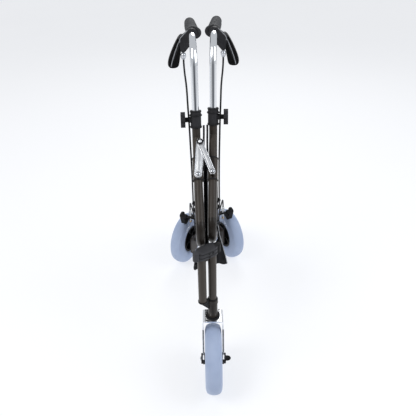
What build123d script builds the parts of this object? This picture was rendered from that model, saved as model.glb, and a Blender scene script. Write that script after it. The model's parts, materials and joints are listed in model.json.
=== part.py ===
"""A folding three-wheel rollator walker, stored with its two side frames folded together.

The walker stands on the floor plane Z = 0. X runs across it, Y runs from the front wheel to the
rear wheels and Z is up. The right side frame carries the caster; the left one swings about its
own post. Lengths are millimetres and angles are degrees.
"""
from build123d import *
from math import atan2, cos, degrees, hypot, radians, sin, tan
import os

LEFT, RIGHT = -1, 1
SIDES = {"left": LEFT, "right": RIGHT}

# ---- driving dimensions -----------------------------------------------------------------------
WHEEL_D = 200.0                 # every wheel
TYRE_WIDTH = 47.6
RIM_D = 102.0                   # seat of the tyre on its hub
FRAME_TUBE_D = 22.2             # side frames and posts
HANDLE_TUBE_D = 19.0            # telescoping handle tubes
TUBE_WALL = 1.5
FRONT_AXLE_Y = -303.8           # puts the origin under the middle of the walker
CASTER_TRAIL = 45.0             # front axle to caster axis
POST_X = 13.5                   # posts each side of the middle plane
LEFT_POST_LEAD = 18.0           # the left post stands this far in front of the right one
FRAME_SPLAY = 2.3               # each folded side frame leans out from the middle plane
FOLD_ANGLE = 54.0               # swing between folded and open
RUNNING = 0.05                  # radial play of a turning or sliding fit

# ---- side frame, measured in its own plane: run behind the post, height above the floor --------
KNEE = (-5.9, 502.0)            # where the upper and lower tubes' centre lines cross
KNEE_R = 40.0
SOCKET_LEAN = 78.0              # slope of the handle socket and handle tube
JUNCTION = (228.0, 680.0)       # the upper tube ends on the handle socket here
SOCKET_FOOT = 600.0             # height where the socket bends into the rear strut
STRUT_BEND_R = 80.0
SOCKET_TOP = 748.0
LOWER_END = (545.0, 130.0)      # centre line at the axle plate
STRUT_FOOT_RUN = 520.0
POST_TOP = 475.0
BAND_Z = (452.0, 477.0)
BAND_WALL = 2.9
BAND_LOBE = 16.0                # screw bosses outside the posts
UPPER_SLOPE = degrees(atan2(JUNCTION[1] - KNEE[1], JUNCTION[0] - KNEE[0]))

# ---- wheels and axles ----------------------------------------------------------------------------
WHEEL_Z = WHEEL_D / 2
REAR_WHEEL_X = 81.4
REAR_WHEEL_BACK = {LEFT: 590.0, RIGHT: 615.0}   # behind the front axle
AXLE_R = 4.0 - RUNNING
BEARING_R, BEARING_BORE_R, BEARING_W = 11.0, 4.0, 7.0
HUB_HALF = 24.5
PLATE_NEAR, PLATE_FAR = -34.0, -39.0            # faces of the axle plate from the wheel's middle

# ---- caster --------------------------------------------------------------------------------------
CROWN_TOP, PLATE_T = 228.0, 4.0
FORK_INNER = 26.5
HOUSING_Z = (232.0, 296.0)
HOUSING_R = 13.3
STEM_R = 6.0
LEFT_POST_FOOT = 304.0

# ---- handles and brakes ----------------------------------------------------------------------------
HANDLE_TOP = 920.0
HANDLE_R = 75.0
HANDLE_REACH = 210.0
HANDLE_SPLAY = 2.0              # the grips turn out a little more than the frames
HANDLE_FOOT = 700.0
GRIP_START, GRIP_LENGTH = 82.0, 140.0
CLAMP_START, CLAMP_LENGTH = 64.0, 17.0
KNOB_HEIGHT = 728.0
KNOB_SEAT = 18.0                # from the socket's axis to the end of the collar's boss
KNOB_SCREW_R = 4.0
CLAMP_PLATE = 6.0
LEVER_PIVOT = (27.0, -10.0)     # out from and above the grip's axis
LEVER_TIPS = ((58.0, -78.0, 9.0), (44.0, -80.0, 7.0))   # out, up and radius
LEVER_START = 11.0              # behind the front face of the clamp
LEVER_PIN_R = 3.0
LEVER_WIDTH = 20.0
ADJUSTER = (24.0, -46.0)
CABLE_D = 5.0
BRAKE_GAP = 3.0
BRAKE_PIVOT = (-50.0, 140.0)    # behind and above the wheel's middle
PAD_ACROSS = (-26.0, -8.0)      # across the wheel's width
STUD_START = -66.0
BRAKE_CLAMP_RUN = 452.0
BARREL = (530.0, 226.0, 27.0)   # run, height and out of the cable's end
BARREL_HOLD = 226.0
CABLE_OUT = 15.2
CLIP_RUNS = (352.0, 384.0)

# ---- folding brace -----------------------------------------------------------------------------------
LINK_LENGTH = 91.0
LINK_T = 3.0
LINK_W = {LEFT: 20.0, RIGHT: 15.0}
LINK_PIVOT = {LEFT: 181.0, RIGHT: 172.0}        # along the upper tube from the knee
LINK_HEIGHT = {LEFT: 15.4, RIGHT: 30.6}         # link mid-plane above the tube's centre line
LINK_LEAN = {LEFT: -5.314, RIGHT: 21.859}       # towards -X, in the plane of the upper tubes
SLEEVE_R, SLEEVE_LENGTH = 13.4, 66.0
LINK_PIN_R = 3.0

FRAME_R = FRAME_TUBE_D / 2
HANDLE_TUBE_R = HANDLE_TUBE_D / 2
UP = Vector(0, 0, 1)


# ---- places ---------------------------------------------------------------------------------------
def post(side):
    """Foot of a post's axis on the floor."""
    lead = LEFT_POST_LEAD if side == LEFT else 0
    return Vector(side * POST_X, FRONT_AXLE_Y + CASTER_TRAIL - lead, 0)


def rearward(side, extra=0.0):
    angle = radians(FRAME_SPLAY + extra)
    return Vector(side * sin(angle), cos(angle), 0)


def outward(side, extra=0.0):
    angle = radians(FRAME_SPLAY + extra)
    return Vector(side * cos(angle), -sin(angle), 0)


def at(side, run, height, out=0.0):
    """A point of a side frame: run behind its post, height above the floor, out from its plane."""
    return post(side) + rearward(side) * run + outward(side) * out + UP * height


def frame_plane(side, out=0.0):
    """Sketch plane of a side frame, with run along its X and height along its Y."""
    return Plane(origin=at(side, 0, 0, out), x_dir=rearward(side), z_dir=rearward(side).cross(UP))


def grip_point(side, reach, out=0.0, up=0.0):
    """A point beside the horizontal part of a handle tube."""
    corner = at(side, socket_run(HANDLE_TOP), HANDLE_TOP)
    return corner + rearward(side, HANDLE_SPLAY) * reach + outward(side, HANDLE_SPLAY) * out + UP * up


def socket_run(height):
    return JUNCTION[0] + (height - JUNCTION[1]) / tan(radians(SOCKET_LEAN))


def wheel_centre(side):
    return Vector(side * REAR_WHEEL_X, FRONT_AXLE_Y + REAR_WHEEL_BACK[side], WHEEL_Z)


def axle_direction(side):
    """Points outboard along a rear axle, which is toed by half the fold angle."""
    return Vector(side * cos(radians(FOLD_ANGLE / 2)), sin(radians(FOLD_ANGLE / 2)), 0)


def wheel_back(side):
    return Vector(-side * sin(radians(FOLD_ANGLE / 2)), cos(radians(FOLD_ANGLE / 2)), 0)


def by_wheel(side, across, back, up=0.0):
    """A point measured from a rear wheel's middle: across its width, back and up."""
    return wheel_centre(side) + axle_direction(side) * across + wheel_back(side) * back + UP * up


def upper_direction(side):
    return rearward(side) * cos(radians(UPPER_SLOPE)) + UP * sin(radians(UPPER_SLOPE))


def upper_normal(side):
    return UP * cos(radians(UPPER_SLOPE)) - rearward(side) * sin(radians(UPPER_SLOPE))


def link_pivot(side, height):
    knee = at(side, *KNEE)
    return knee + upper_direction(side) * LINK_PIVOT[side] + upper_normal(side) * height


# ---- shapes used more than once -------------------------------------------------------------------
def bar(start, end, radius, bore=0.0):
    """A round bar or tube between two points."""
    with BuildPart() as shape:
        with BuildSketch(Plane(origin=start, z_dir=end - start)):
            Circle(radius)
            if bore:
                Circle(bore, mode=Mode.SUBTRACT)
        extrude(amount=(end - start).length)
    return shape.part


def bent_bar(points, radii, radius, bore=0.0):
    """A round bar or tube along straight runs joined by arcs."""
    with BuildPart() as shape:
        with BuildLine() as route:
            FilletPolyline(*points, radius=radii)
        with BuildSketch(Plane(origin=route.line @ 0, z_dir=route.line % 0)):
            Circle(radius)
            if bore:
                Circle(bore, mode=Mode.SUBTRACT)
        sweep(path=route.line)
    return shape.part


def turned(origin, direction, outline):
    """A solid turned about an axis, from corners given as (along the axis, radius)."""
    side_plane = Plane(origin=origin, x_dir=direction, z_dir=direction.cross(UP))
    if direction.cross(UP).length < 0.001:
        side_plane = Plane(origin=origin, x_dir=direction, z_dir=(0, 1, 0))
    flip = side_plane.y_dir
    with BuildPart() as shape:
        with BuildSketch(Plane(origin=origin, x_dir=direction, z_dir=direction.cross(flip))):
            with BuildLine():
                Polyline(*outline, close=True)
            make_face()
        revolve(axis=Axis(origin, direction))
    return shape.part


def finish(part, name):
    part.label = name
    export_step(part, f"parts/{name}.step")


# ---- side frames -----------------------------------------------------------------------------------
def lower_direction(side):
    fall = (at(side, *LOWER_END) - at(side, *KNEE))
    return fall.normalized()


def knee_tangent():
    """Length from the knee's corner to the end of its arc."""
    fall = degrees(atan2(KNEE[1] - LOWER_END[1], LOWER_END[0] - KNEE[0]))
    turn = 180 - UPPER_SLOPE - fall
    return KNEE_R * tan(radians(turn / 2))


def upper_tube(side, bore):
    start = at(side, *KNEE) + lower_direction(side) * (knee_tangent() + 2)
    return bent_bar([start, at(side, *KNEE), at(side, *JUNCTION)], [KNEE_R], FRAME_R, bore)


def rear_tube(side, bore):
    """The handle socket and the rear strut, which are one tube."""
    points = [at(side, socket_run(SOCKET_TOP), SOCKET_TOP), at(side, socket_run(SOCKET_FOOT), SOCKET_FOOT),
              at(side, STRUT_FOOT_RUN, lower_height(STRUT_FOOT_RUN))]
    return bent_bar(points, [STRUT_BEND_R], FRAME_R, bore)


def lower_height(run):
    fall = (KNEE[1] - LOWER_END[1]) / (LOWER_END[0] - KNEE[0])
    return KNEE[1] - fall * (run - KNEE[0])


def plate_plane(side, across):
    """Plane across a rear axle, facing outboard."""
    return Plane(origin=by_wheel(side, across, 0), x_dir=wheel_back(side), z_dir=axle_direction(side))


def make_side_frame(word, side):
    with BuildPart() as upper:
        add(upper_tube(side, FRAME_R - TUBE_WALL))
        add(rear_tube(side, 0), mode=Mode.SUBTRACT)
    finish(upper.part, f"{word}_upper_tube")

    start = at(side, *KNEE) + lower_direction(side) * (knee_tangent() + 2)
    end = at(side, *LOWER_END) + lower_direction(side) * FRAME_TUBE_D
    with BuildPart() as lower:
        add(bar(start, end, FRAME_R, FRAME_R - TUBE_WALL))
        with BuildSketch(plate_plane(side, PLATE_FAR)):
            Rectangle(4 * FRAME_TUBE_D, 8 * FRAME_TUBE_D)
        extrude(amount=2 * FRAME_TUBE_D, mode=Mode.SUBTRACT)
    finish(lower.part, f"{word}_lower_tube")

    with BuildPart() as strut:
        add(rear_tube(side, FRAME_R - TUBE_WALL))
        add(bar(start, end, FRAME_R), mode=Mode.SUBTRACT)
    finish(strut.part, f"{word}_rear_tube")

    foot = LEFT_POST_FOOT if side == LEFT else HOUSING_Z[1]
    gusset_t = 4.0
    with BuildPart() as post_tube:
        add(bar(post(side) + UP * foot, post(side) + UP * POST_TOP, FRAME_R, FRAME_R - TUBE_WALL))
        with BuildSketch(frame_plane(side)):
            Polygon((FRAME_R - 1, 395), (FRAME_R - 1, 450), (56, 450), (62, 440), align=None)
        extrude(amount=gusset_t / 2, both=True)
        add(bar(start, end, FRAME_R), mode=Mode.SUBTRACT)
    finish(post_tube.part, f"{word}_post")

    with BuildPart() as axle_plate:
        with BuildSketch(plate_plane(side, PLATE_FAR)):
            with Locations((-8, 12)):
                RectangleRounded(54, 72, 14)
            Circle(AXLE_R + RUNNING, mode=Mode.SUBTRACT)
        extrude(amount=PLATE_NEAR - PLATE_FAR)
    finish(axle_plate.part, f"{word}_axle_plate")

    with BuildPart() as axle:
        add(turned(wheel_centre(side), axle_direction(side), [
            (-52, 0), (-52, AXLE_R), (PLATE_NEAR, AXLE_R), (PLATE_NEAR, 6), (-HUB_HALF - 0.4, 6),
            (-HUB_HALF - 0.4, AXLE_R - RUNNING), (HUB_HALF + 0.4, AXLE_R - RUNNING),
            (HUB_HALF + 0.4, 8), (HUB_HALF + 4, 7), (HUB_HALF + 5.5, 4), (HUB_HALF + 6, 0)]))
        with BuildSketch(plate_plane(side, PLATE_FAR - 7)):
            RegularPolygon(7, 6)
            Circle(AXLE_R, mode=Mode.SUBTRACT)
        extrude(amount=7)
    finish(axle.part, f"{word}_axle")


# ---- wheels ----------------------------------------------------------------------------------------
def make_wheel(word, centre, direction):
    half, rim, crown = TYRE_WIDTH / 2, RIM_D / 2, WHEEL_D / 2
    radial = direction.cross(UP).cross(direction)
    section = Plane(origin=centre, x_dir=direction, z_dir=direction.cross(radial))
    axis = Axis(centre, direction)

    with BuildPart() as tyre:
        with BuildSketch(section):
            with BuildLine():
                Polyline((half - 6, crown - 5), (half - 1.2, crown - 14), (half, crown - 26))
                Line((half, crown - 26), (half - 4, rim))
                Line((half - 4, rim), (4 - half, rim))
                Line((4 - half, rim), (-half, crown - 26))
                Polyline((-half, crown - 26), (1.2 - half, crown - 14), (6 - half, crown - 5))
                ThreePointArc((6 - half, crown - 5), (0, crown), (half - 6, crown - 5))
            make_face()
        revolve(axis=axis)
    finish(tyre.part, f"{word}_tyre")

    with BuildPart() as hub:
        with BuildSketch(section):
            with Locations((0, rim - 3.5)):
                Rectangle(2 * half - 8, 7)
            with Locations((0, rim / 2)):
                Rectangle(8, rim - 7)
            with Locations((0, 8)):
                Rectangle(2 * HUB_HALF, 16)
        revolve(axis=axis)
        with BuildSketch(Plane(origin=centre - direction * 15, x_dir=radial, z_dir=direction)):
            with PolarLocations((rim - 7 + 14) / 2, 6):
                Rectangle(rim - 7 - 12, 3.5)
        extrude(amount=30)
        with BuildSketch(Plane(origin=centre - direction * HUB_HALF, x_dir=radial, z_dir=direction)):
            Circle(7.5)
        extrude(amount=2 * HUB_HALF, mode=Mode.SUBTRACT)
        for end in (-1, 1):
            face = centre + direction * (end * HUB_HALF)
            with BuildSketch(Plane(origin=face, z_dir=direction * -end)):
                Circle(BEARING_R + 0.02)
            extrude(amount=BEARING_W + 0.1, mode=Mode.SUBTRACT)
    finish(hub.part, f"{word}_hub")

    with BuildPart() as bearings:
        for end in (-1, 1):
            face = centre + direction * (end * (HUB_HALF - 0.05))
            with BuildSketch(Plane(origin=face, z_dir=direction * -end)):
                Circle(BEARING_R)
                Circle(BEARING_BORE_R, mode=Mode.SUBTRACT)
            extrude(amount=BEARING_W)
    finish(bearings.part, f"{word}_bearings")


# ---- caster ----------------------------------------------------------------------------------------
def make_caster():
    axis_point = post(RIGHT)
    axle = Vector(POST_X, FRONT_AXLE_Y, WHEEL_Z)
    outer = FORK_INNER + PLATE_T

    with BuildPart() as fork:
        with BuildSketch(Plane(origin=(POST_X, 0, 0), x_dir=(1, 0, 0), z_dir=(0, -1, 0))):
            with Locations((0, (CROWN_TOP + 84) / 2)):
                RectangleRounded(2 * outer, CROWN_TOP - 84, 9)
            with Locations((0, (CROWN_TOP - PLATE_T + 70) / 2)):
                RectangleRounded(2 * FORK_INNER, CROWN_TOP - PLATE_T - 70, 6, mode=Mode.SUBTRACT)
        extrude(amount=-2 * FRONT_AXLE_Y, both=True)
        with BuildSketch(Plane(origin=(POST_X, 0, 0), x_dir=(0, 1, 0), z_dir=(1, 0, 0))):
            with BuildLine():
                front, back = FRONT_AXLE_Y + CASTER_TRAIL - 24, FRONT_AXLE_Y + CASTER_TRAIL + 24
                Polyline((FRONT_AXLE_Y - 13, WHEEL_Z), (FRONT_AXLE_Y - 13, WHEEL_Z + 30), (front, 196),
                         (front, CROWN_TOP + 1), (back, CROWN_TOP + 1), (back, 200),
                         (FRONT_AXLE_Y + 13, WHEEL_Z + 8), (FRONT_AXLE_Y + 13, WHEEL_Z))
                ThreePointArc((FRONT_AXLE_Y + 13, WHEEL_Z), (FRONT_AXLE_Y, WHEEL_Z - 13),
                              (FRONT_AXLE_Y - 13, WHEEL_Z))
            make_face()
        extrude(amount=outer + 1, both=True, mode=Mode.INTERSECT)
        with BuildSketch(Plane(origin=axle - Vector(40, 0, 0), x_dir=(0, 1, 0), z_dir=(1, 0, 0))):
            Circle(AXLE_R)
        extrude(amount=80, mode=Mode.SUBTRACT)
        with BuildSketch(Plane(origin=axis_point + UP * 210)):
            Circle(STEM_R)
        extrude(amount=30, mode=Mode.SUBTRACT)
    finish(fork.part, "caster_fork")

    with BuildPart() as stem:
        with BuildSketch(Plane(origin=axis_point + UP * (CROWN_TOP - PLATE_T - 6))):
            RegularPolygon(9.5, 6)
        extrude(amount=6)
        with BuildSketch(Plane(origin=axis_point + UP * (CROWN_TOP - PLATE_T))):
            Circle(STEM_R)
        extrude(amount=288 - CROWN_TOP + PLATE_T)
        with BuildSketch(Plane(origin=axis_point + UP * 276)):
            RegularPolygon(7.6, 6)
        extrude(amount=8)
    finish(stem.part, "caster_stem")

    with BuildPart() as dust_ring:
        with BuildSketch(Plane(origin=axis_point + UP * CROWN_TOP)):
            Circle(20)
            Circle(STEM_R, mode=Mode.SUBTRACT)
        extrude(amount=3.2)
        chamfer(dust_ring.edges().filter_by(GeomType.CIRCLE).sort_by(Axis.Z)[-2:].sort_by(SortBy.RADIUS)[-1],
                length=1)
    finish(dust_ring.part, "caster_dust_ring")

    with BuildPart() as housing:
        with BuildSketch(Plane(origin=axis_point + UP * HOUSING_Z[0])):
            Circle(HOUSING_R)
        extrude(amount=48)
        with BuildSketch(Plane(origin=axis_point + UP * (HOUSING_Z[0] + 48))):
            Circle(HOUSING_R + 1.2)
        extrude(amount=HOUSING_Z[1] - HOUSING_Z[0] - 48)
        fillet(housing.edges().filter_by(GeomType.CIRCLE).group_by(Axis.Z)[-1], radius=3)
        with BuildSketch(Plane(origin=axis_point + UP * HOUSING_Z[0])):
            Circle(9)
        extrude(amount=HOUSING_Z[1] - HOUSING_Z[0], mode=Mode.SUBTRACT)
        for height, depth in ((HOUSING_Z[0], 7.4), (268, HOUSING_Z[1] - 268)):
            with BuildSketch(Plane(origin=axis_point + UP * height)):
                Circle(BEARING_R + 0.02)
            extrude(amount=depth, mode=Mode.SUBTRACT)
    finish(housing.part, "caster_housing")

    with BuildPart() as caster_bearings:
        for height in (HOUSING_Z[0] + 0.3, 268.0):
            with BuildSketch(Plane(origin=axis_point + UP * height)):
                Circle(BEARING_R)
                Circle(STEM_R + RUNNING, mode=Mode.SUBTRACT)
            extrude(amount=BEARING_W)
    finish(caster_bearings.part, "caster_bearings")

    front_axle = turned(axle, Vector(1, 0, 0), [
        (-outer - 9, 0), (-outer - 8, 5), (-outer - 5, 7), (-outer - 5, AXLE_R),
        (outer + 10, AXLE_R), (outer + 10, 0)])
    finish(front_axle, "front_axle")

    with BuildPart() as caps:
        for end in (-1, 1):
            with BuildSketch(Plane(origin=axle + Vector(end * outer, 0, 0), z_dir=(end, 0, 0))):
                Circle(15)
                Circle(AXLE_R, mode=Mode.SUBTRACT)
            extrude(amount=5)
    finish(caps.part, "front_axle_washers")

    nut = turned(axle, Vector(1, 0, 0), [
        (outer + 5, AXLE_R), (outer + 5, 7.5), (outer + 11, 7.5), (outer + 16, 6), (outer + 19, 3),
        (outer + 20, 0), (outer + 10, 0), (outer + 10, AXLE_R)])
    finish(nut, "front_cap_nut")
    make_wheel("front", axle, Vector(1, 0, 0))


# ---- where the two sides meet ------------------------------------------------------------------------
def make_hinge():
    left, right = post(LEFT), post(RIGHT)
    line = right - left
    middle = (left + right) * 0.5
    reach = line.length / 2

    def level(height):
        return Plane(origin=middle + UP * height, x_dir=line, z_dir=(0, 0, 1))

    with BuildPart() as band:
        with BuildSketch(level(BAND_Z[0])):
            SlotCenterToCenter(line.length, 2 * (FRAME_R + BAND_WALL))
            with Locations((-reach - BAND_LOBE, 0), (reach + BAND_LOBE, 0)):
                Circle(9)
        extrude(amount=BAND_Z[1] - BAND_Z[0])
        fillet(band.edges().filter_by(GeomType.CIRCLE).sort_by(SortBy.LENGTH)[-2:], radius=2)
        with BuildSketch(level(BAND_Z[0])):
            with Locations((-reach, 0)):
                Circle(FRAME_R + RUNNING)
            with Locations((reach, 0)):
                Circle(FRAME_R)
        extrude(amount=POST_TOP - BAND_Z[0] + 0.1, mode=Mode.SUBTRACT)
    finish(band.part, "hinge_band")

    pin_r = FRAME_R - TUBE_WALL - RUNNING
    web_t = 5.0
    with BuildPart() as bracket:
        with BuildSketch(Plane(origin=left + UP * (LEFT_POST_FOOT - 4))):
            Circle(FRAME_R + 1.5)
        extrude(amount=3.95)
        with BuildSketch(Plane(origin=left + UP * (LEFT_POST_FOOT - 1))):
            Circle(pin_r)
        extrude(amount=32)
        with BuildSketch(Plane(origin=left, x_dir=line, z_dir=line.cross(UP))):
            Polygon((-FRAME_R, LEFT_POST_FOOT - 2), (line.length, LEFT_POST_FOOT - 2),
                    (line.length, 262), (line.length - HOUSING_R, 262), (-6, 294), align=None)
        extrude(amount=web_t / 2, both=True)
        with BuildSketch(Plane(origin=right + UP * 200)):
            Circle(HOUSING_R + 1.2)
        extrude(amount=200, mode=Mode.SUBTRACT)
    finish(bracket.part, "lower_bracket")


# ---- handles -----------------------------------------------------------------------------------------
def socket_axis(side):
    return rearward(side) * cos(radians(SOCKET_LEAN)) + UP * sin(radians(SOCKET_LEAN))


def make_handle(word, side):
    foot = at(side, socket_run(HANDLE_FOOT), HANDLE_FOOT)
    points = [foot, grip_point(side, 0), grip_point(side, HANDLE_REACH)]
    tube = bent_bar(points, [HANDLE_R], HANDLE_TUBE_R, HANDLE_TUBE_R - TUBE_WALL)
    finish(tube, f"{word}_handle_tube")

    grip_axis = rearward(side, HANDLE_SPLAY)
    end = GRIP_LENGTH
    grip = turned(grip_point(side, GRIP_START), grip_axis, [
        (0, HANDLE_TUBE_R), (0, 18), (4, 19), (8, 15), (30, 15.5), (60, 17), (95, 16), (end - 5, 15),
        (end, 10), (end, 0), (HANDLE_REACH - GRIP_START, 0), (HANDLE_REACH - GRIP_START, HANDLE_TUBE_R)])
    finish(grip, f"{word}_grip")

    hub = grip_point(side, CLAMP_START)
    across = Plane(origin=hub, x_dir=outward(side, HANDLE_SPLAY), z_dir=grip_axis)
    flip = 1 if across.y_dir.Z > 0 else -1
    pivot = (LEVER_PIVOT[0], LEVER_PIVOT[1] * flip)
    with BuildPart() as clamp:
        with BuildSketch(across):
            Circle(15)
            with Locations(pivot):
                Circle(8)
            with Locations((ADJUSTER[0], (ADJUSTER[1] + 8) * flip)):
                Circle(7)
            make_hull()
        extrude(amount=CLAMP_PLATE)
        with BuildSketch(across):
            Circle(15)
        extrude(amount=CLAMP_LENGTH)
        with BuildSketch(across):
            Circle(HANDLE_TUBE_R)
        extrude(amount=CLAMP_LENGTH, mode=Mode.SUBTRACT)
        with BuildSketch(across):
            with Locations(pivot):
                Circle(LEVER_PIN_R)
        extrude(amount=LEVER_START + LEVER_WIDTH + 3)
    finish(clamp.part, f"{word}_lever_clamp")

    with BuildPart() as lever:
        with BuildSketch(across.offset(LEVER_START)):
            with Locations(pivot):
                Circle(8)
            for out, up, radius in LEVER_TIPS:
                with Locations((out, up * flip)):
                    Circle(radius)
            make_hull()
            with Locations(pivot):
                Circle(LEVER_PIN_R + RUNNING, mode=Mode.SUBTRACT)
        extrude(amount=LEVER_WIDTH)
    finish(lever.part, f"{word}_brake_lever")

    top = adjuster_point(side)
    with BuildPart() as adjuster:
        with BuildSketch(Plane(origin=top, z_dir=(0, 0, -1))):
            Circle(5)
        extrude(amount=16)
        with BuildSketch(Plane(origin=top - UP * 4, z_dir=(0, 0, -1))):
            Circle(7.4)
        extrude(amount=9)
        chamfer(adjuster.edges().filter_by(GeomType.CIRCLE).group_by(SortBy.RADIUS)[-1], length=1.5)
    finish(adjuster.part, f"{word}_lever_adjuster")


def adjuster_point(side):
    """Top of the barrel that the brake cable leaves the lever clamp through."""
    return grip_point(side, CLAMP_START + CLAMP_PLATE / 2, ADJUSTER[0], ADJUSTER[1])


def make_height_clamp(word, side):
    axis = socket_axis(side)
    middle = at(side, socket_run(KNOB_HEIGHT), KNOB_HEIGHT)
    out = outward(side)
    top = at(side, socket_run(SOCKET_TOP), SOCKET_TOP)
    with BuildPart() as collar:
        add(bar(middle - axis * 22, top + axis * 4, FRAME_R + 3))
        add(bar(middle, middle + out * KNOB_SEAT, 8))
        add(bar(middle - axis * 30, top, FRAME_R), mode=Mode.SUBTRACT)
        add(bar(middle, top + axis * 10, HANDLE_TUBE_R + RUNNING), mode=Mode.SUBTRACT)
        add(bar(middle, middle + out * (KNOB_SEAT + 5), KNOB_SCREW_R + RUNNING), mode=Mode.SUBTRACT)
    finish(collar.part, f"{word}_height_collar")

    with BuildPart() as knob:
        add(bar(middle + out * (FRAME_R + 0.4), middle + out * (KNOB_SEAT + 4), KNOB_SCREW_R))
        add(bar(middle + out * (KNOB_SEAT + 0.4), middle + out * (KNOB_SEAT + 10), 6.5))
        with BuildSketch(Plane(origin=middle + out * (KNOB_SEAT + 10), z_dir=out)):
            Circle(20.5)
            with PolarLocations(24.5, 8):
                Circle(6, mode=Mode.SUBTRACT)
        extrude(amount=12)
    finish(knob.part, f"{word}_knob")


# ---- brakes --------------------------------------------------------------------------------------------
def strut_point(side, run, out=0.0):
    """A point beside the straight part of the rear strut."""
    top, foot = socket_run(SOCKET_FOOT), lower_height(STRUT_FOOT_RUN)
    fall = (SOCKET_FOOT - foot) / (STRUT_FOOT_RUN - top)
    return at(side, run, SOCKET_FOOT - fall * (run - top), out)


def wheel_sketch(side, across):
    """Sketch plane beside a rear wheel: back along its X, up along its Y, wheel's middle at zero."""
    back = wheel_back(side)
    return Plane(origin=by_wheel(side, across, 0), x_dir=back, z_dir=back.cross(UP))


def make_brake(word, side):
    along = (strut_point(side, 500) - strut_point(side, 400)).normalized()
    grip_at = strut_point(side, BRAKE_CLAMP_RUN)
    stud_start = by_wheel(side, STUD_START, *BRAKE_PIVOT)
    stud_end = by_wheel(side, PAD_ACROSS[0] + 8, *BRAKE_PIVOT)
    barrel = at(side, *BARREL)
    with BuildPart() as bracket:
        add(bar(grip_at - along * 12, grip_at + along * 12, FRAME_R + 3))
        with BuildSketch(frame_plane(side, FRAME_R)):
            Polygon((446, 246), (470, 254), (538, 242), (538, 212), (498, 206), (466, 200), align=None)
        extrude(amount=side * 3)
        with BuildSketch(frame_plane(side, FRAME_R)):
            with Locations((BARREL[0], BARREL_HOLD)):
                Rectangle(14, 5)
        extrude(amount=side * (BARREL[2] - FRAME_R + 7))
        add(bar(stud_start, stud_end, 4))
        add(bar(grip_at - along * 80, grip_at + along * 80, FRAME_R), mode=Mode.SUBTRACT)
        add(bar(barrel - UP * 30, barrel + UP * 60, 4.5), mode=Mode.SUBTRACT)
    finish(bracket.part, f"{word}_brake_bracket")

    with BuildPart() as adjuster:
        with BuildSketch(Plane(origin=barrel - UP * 24)):
            Circle(4.5)
        extrude(amount=48)
        for height in (BARREL_HOLD - BARREL[1] - 8, BARREL_HOLD - BARREL[1] + 2.5):
            with BuildSketch(Plane(origin=barrel + UP * height)):
                RegularPolygon(7, 6)
            extrude(amount=5.5)
    finish(adjuster.part, f"{word}_brake_adjuster")

    tread = WHEEL_D / 2 + BRAKE_GAP
    with BuildPart() as arm:
        with BuildSketch(wheel_sketch(side, PAD_ACROSS[0])):
            with Locations(BRAKE_PIVOT):
                Circle(8.5)
            with Locations((-21, 111)):
                Circle(5)
            with Locations((-40, 108)):
                Circle(9)
            make_hull()
            Circle(tread, mode=Mode.SUBTRACT)
        extrude(amount=side * (PAD_ACROSS[1] - PAD_ACROSS[0]))
        with BuildSketch(wheel_sketch(side, PAD_ACROSS[0] - 8)):
            with Locations(BRAKE_PIVOT):
                Circle(8)
        extrude(amount=side * 9)
        with BuildSketch(wheel_sketch(side, PAD_ACROSS[0] - 10)):
            with Locations(BRAKE_PIVOT):
                Circle(4 + RUNNING)
        extrude(amount=side * 50, mode=Mode.SUBTRACT)
    finish(arm.part, f"{word}_brake_arm")


def corner_radii(points):
    """The largest arc at each corner of a cable's route that its two runs allow."""
    radii = []
    for before, corner, after in zip(points, points[1:], points[2:]):
        run = min((corner - before).length, (after - corner).length)
        turn = radians((corner - before).get_angle(after - corner))
        radii.append(min(0.45 * run / tan(turn / 2), 400))
    return radii


def cable_route(side):
    start = adjuster_point(side) - UP * 16
    return [
        start,
        start - UP * 26,
        at(side, 292, 800, 21),
        at(side, 272, 758, 20),
        at(side, 257, 708, 18),
        at(side, 248, 655, 17),
        at(side, 249, 602, 16),
        at(side, 262, 553, 15.5),
        strut_point(side, 292, CABLE_OUT) + UP * 14,
        strut_point(side, 322, CABLE_OUT),
        strut_point(side, 356, CABLE_OUT) + UP * 1,
        strut_point(side, 390, CABLE_OUT),
        strut_point(side, 420, CABLE_OUT) + UP * 9,
        at(side, 452, 300, 18),
        at(side, 490, 296, 22),
        at(side, BARREL[0] - 10, 292, BARREL[2] - 1),
        at(side, BARREL[0], 268, BARREL[2]),
        at(side, BARREL[0], BARREL[1] + 24, BARREL[2]),
    ]


def make_cable(word, side):
    route = cable_route(side)
    cable = bent_bar(route, corner_radii(route), CABLE_D / 2)
    print(word, "cable", round(cable.volume / (3.14159 * CABLE_D ** 2 / 4)), "mm long, radii",
          [round(radius) for radius in corner_radii(route)])
    finish(cable, f"{word}_brake_cable")

    along = (strut_point(side, 500) - strut_point(side, 400)).normalized()
    with BuildPart() as clips:
        for run in CLIP_RUNS:
            middle = strut_point(side, run)
            with BuildSketch(Plane(origin=middle - along * 4, x_dir=outward(side), z_dir=along)):
                Circle(FRAME_R + 1.6)
                with Locations((CABLE_OUT, 0)):
                    Circle(CABLE_D / 2 + 1.6)
                make_hull()
                Circle(FRAME_R, mode=Mode.SUBTRACT)
            extrude(amount=8)
        add(cable, mode=Mode.SUBTRACT)
    finish(clips.part, f"{word}_cable_clips")


# ---- folding brace ---------------------------------------------------------------------------------------
def link_direction(side):
    lean = radians(LINK_LEAN[side])
    return upper_direction(side) * cos(lean) + UP.cross(rearward(side)) * sin(lean)


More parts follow.
